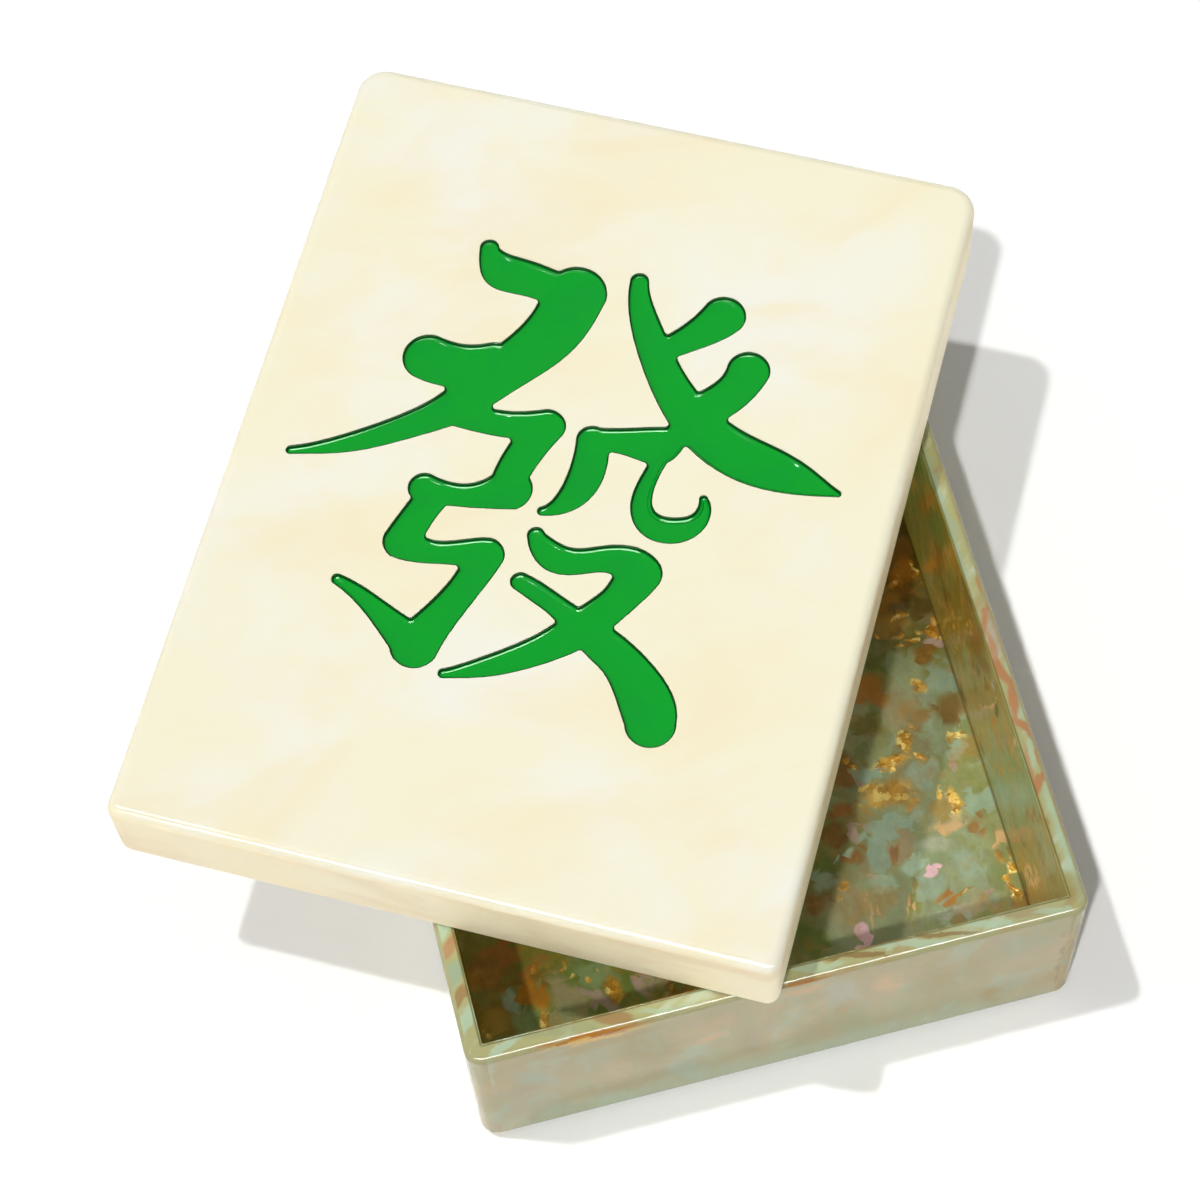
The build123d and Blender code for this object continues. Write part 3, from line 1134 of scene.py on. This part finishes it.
class Dresser:
    """Gives the CAD nodes of the tray and the lid their finishes."""

    sheets: tuple[ShellSheet, ...] = (
        ShellSheet("floor", FLOOR_ZONES, FLOOR_PIECES, FLOOR_FOILS, gloss=0.2),
        # the right wall's inner face gets a stronger painted glow
        ShellSheet("right_wall", WALL_ZONES, WALL_PIECES, bands=RIGHT_BANDS, gloss=0.12, glow=0.4),
        ShellSheet("front_wall", bands=FRONT_BANDS, mists=FRONT_MISTS),
        ShellSheet("left_wall", bands=LEFT_BANDS),
        ShellSheet("back_wall"),
    )
    lid_parts = ("top_panel", "left_wall", "right_wall", "front_wall", "back_wall")

    def dress_all(self, effects: Effects) -> None:
        """Dress the lid in cream, and each sheet of the tray in its own acrylic.

        Args:
            effects: The shared effects.
        """
        cream = CreamAcrylic(effects)
        for part in self.lid_parts:
            self.dress(f"lid_{part}", cream)
        for sheet in self.sheets:
            self.dress(f"tray_{sheet.name}", ShellAcrylic(sheet, effects))

    def dress(self, name: str, finish: Finish) -> None:
        """Give a CAD node its finish.

        Args:
            name: The node.
            finish: The finish.
        """
        data = frame["nodes"][name].data
        if not data.materials:
            data.materials.append(finish.material)
        for index in range(len(data.materials)):
            data.materials[index] = finish.material
        LOG.info("dressed %s in %s", name, finish.title)


@dataclass
class SignInlays:
    """The three inlays, poured so that their edge climbs the pocket wall, in metres."""

    nodes: tuple[str, ...] = ("inlay_left", "inlay_right", "inlay_foot")
    rim_height: float = 0.00135
    merge_distance: float = 1e-6
    top_tolerance: float = 1e-5
    upward: float = 0.99
    flat_degrees: float = 0.5
    # how far each step of the green goes inward, and its height
    steps: tuple[Span, ...] = (
        (0.00028, 0.0013), (0.00012, 0.0006), (0.00006, 0.00044), (0.00018, 0.00032),
        (0.00018, 0.0002), (0.00018, 0.00008), (0.0003, 0.0),
    )

    def pour(self, node: str, finish: Finish) -> bpy.types.Object:
        """Build one inlay from its CAD outline.

        Args:
            node: The CAD node that it stands for.
            finish: Its finish.

        Returns:
            The new piece.
        """
        work = bmesh.new()
        work.from_mesh(frame["nodes"][node].data)
        bmesh.ops.remove_doubles(work, verts=work.verts, dist=self.merge_distance)
        flat = math.radians(self.flat_degrees)
        bmesh.ops.dissolve_limit(work, angle_limit=flat, verts=work.verts, edges=work.edges)
        work.faces.ensure_lookup_table()
        top_level = max(vertex.co.z for vertex in work.verts)
        inner = [face for face in work.faces if face.normal.z > self.upward]
        for vertex in work.verts:
            if vertex.co.z > top_level - self.top_tolerance:
                vertex.co.z = top_level + self.rim_height
        for inward, height in self.steps:
            bmesh.ops.inset_region(
                work, faces=inner, thickness=inward, use_even_offset=True, use_boundary=True
            )
            for vertex in {vertex for face in inner for vertex in face.verts}:
                vertex.co.z = top_level + height
        bmesh.ops.triangulate(work, faces=inner)
        for face in work.faces:
            face.smooth = True
        data = bpy.data.meshes.new(f"{node}_poured")
        work.to_mesh(data)
        work.free()
        piece = add_to_scene(f"{node}_poured", data)
        data.materials.append(finish.material)
        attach(piece, Body.LID.value)
        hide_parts(node)
        return piece


def add_to_scene(name: str, data: bpy.types.ID) -> bpy.types.Object:
    """Make an object and put it into the scene.

    Args:
        name: The object's name.
        data: Its mesh, lamp or camera data.

    Returns:
        The new object.
    """
    made = bpy.data.objects.new(name, data)
    bpy.context.scene.collection.objects.link(made)
    return made


@dataclass(frozen=True)
class CameraPlace:
    """Where the camera stands and how it is turned, in metres and degrees."""

    position: Point = (-0.0798, -0.3707, 0.8840)
    heading: float = -9.2495
    lift: float = 25.076
    roll: float = -5.342
    lens: float = 100.57
    sensor: float = 36.0

    def build(self) -> None:
        """Make the camera and put it to use."""
        data = bpy.data.cameras.new("camera")
        data.sensor_fit = "HORIZONTAL"
        data.sensor_width = self.sensor
        data.lens = self.lens
        camera = add_to_scene("camera", data)
        turn = Matrix.Rotation(math.radians(self.heading), 4, "Z")
        turn = turn @ Matrix.Rotation(math.radians(self.lift), 4, "X")
        turn = turn @ Matrix.Rotation(math.radians(self.roll), 4, "Z")
        camera.matrix_world = Matrix.Translation(self.position) @ turn
        bpy.context.scene.camera = camera


@dataclass(frozen=True)
class Softbox:
    """A soft lamp that hangs on a line from the case and shows in gloss only, in metres."""

    name: str = "edge_strip"
    towards: Point = (-0.1, -0.6, 0.75)
    along: Point = (-0.61, 0.145, 0.0)
    distance: float = 1.25
    width: float = 1.5
    depth: float = 0.2
    radiance: float = 56.0
    centre: Point = (0.0, 0.0, 0.06)

    def build(self) -> None:
        """Hang the lamp, facing the case."""
        data = bpy.data.lights.new(self.name, "AREA")
        data.shape = "RECTANGLE"
        data.size = self.width
        data.size_y = self.depth
        data.energy = self.radiance * math.pi * self.width * self.depth
        lamp = add_to_scene(self.name, data)
        lamp.visible_diffuse = False
        back = Vector(self.towards).normalized()
        side = Vector(self.along)
        side = (side - back * side.dot(back)).normalized()
        turn = Matrix((side, back.cross(side), back)).transposed().to_4x4()
        lamp.matrix_world = Matrix.Translation(Vector(self.centre) + back * self.distance) @ turn


@dataclass(frozen=True)
class SunLamp:
    """A far lamp that draws a shadow."""

    name: str
    towards: Point
    strength: float
    spread_degrees: float = 1.6

    def build(self) -> None:
        """Aim the lamp at the case."""
        data = bpy.data.lights.new(self.name, "SUN")
        data.energy = self.strength
        data.angle = math.radians(self.spread_degrees)
        lamp = add_to_scene(self.name, data)
        lamp.matrix_world = Vector(self.towards).to_track_quat("Z", "Y").to_matrix().to_4x4()


@dataclass
class Studio:
    """Pale floor, white surroundings, lamps and camera."""

    parts: tuple[CameraPlace | SunLamp | Softbox, ...] = (
        CameraPlace(),
        SunLamp("front_lamp", (-0.28, -0.4, 1.0), strength=1.36),
        SunLamp("side_lamp", (-0.29, 0.11, 1.0), strength=1.2),
        Softbox(),
    )
    floor_half: float = 4.0
    floor_drop: float = 0.0002
    floor_colour: Colour = (0.98, 0.98, 0.98, 1.0)
    fill: float = 0.28

    def build(self) -> None:
        """Set up the whole studio."""
        for part in self.parts:
            part.build()
        self.build_floor()
        self.build_world()
        bpy.context.scene.view_settings.view_transform = "Standard"

    def build_floor(self) -> None:
        """Lay the pale floor."""
        work = bmesh.new()
        bmesh.ops.create_grid(work, x_segments=1, y_segments=1, size=self.floor_half)
        bmesh.ops.translate(work, verts=work.verts, vec=(0.0, 0.0, -self.floor_drop))
        data = bpy.data.meshes.new("studio_floor")
        work.to_mesh(data)
        work.free()
        floor = add_to_scene("studio_floor", data)
        material = bpy.data.materials.new("studio_floor")
        material.use_nodes = True
        shader = material.node_tree.nodes["Principled BSDF"]
        bench = NodeBench(material.node_tree)
        bench.fill(shader, Base_Color=self.floor_colour, Roughness=0.9, Specular_IOR_Level=0.0)
        data.materials.append(material)

    def build_world(self) -> None:
        """Fill the room with soft light, and show white to eye and gloss."""
        world = bpy.data.worlds.new("studio_world")
        world.use_nodes = True
        world.node_tree.nodes.clear()
        bench = NodeBench(world.node_tree)
        path = bench.node("LightPath").outputs
        seen = bench.math("MAXIMUM", path["Is Camera Ray"], path["Is Glossy Ray"])
        seen = bench.math("MAXIMUM", seen, path["Is Transmission Ray"])
        soft = bench.node("Background", WHITE, self.fill)
        white = bench.node("Background", WHITE)
        mixed = bench.node("MixShader", seen, soft.outputs[0], white.outputs[0])
        bench.node("OutputWorld", mixed.outputs[0])
        bpy.context.scene.world = world


def clear_start_objects() -> None:
    """Remove what Blender puts into a new file."""
    kept = set(frame["nodes"].values()) | set(frame["bodies"].values())
    for thing in list(bpy.context.scene.objects):
        if thing not in kept:
            bpy.data.objects.remove(thing)


def main() -> None:
    """Build the classes in order and report each piece."""
    logging.basicConfig(level=logging.INFO, format="%(message)s")
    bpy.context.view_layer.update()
    clear_start_objects()
    effects = Effects(CloudVeil().tree, PolishWear().tree, ShellChips().tree)
    Dresser().dress_all(effects)
    green = GreenEnamel(effects)
    sign = SignInlays()
    for node in sign.nodes:
        piece = sign.pour(node, green)
        LOG.info("poured %s: %d faces", piece.name, len(piece.data.polygons))
    Studio().build()
    LOG.info("studio ready")


if __name__ == "__main__":
    main()
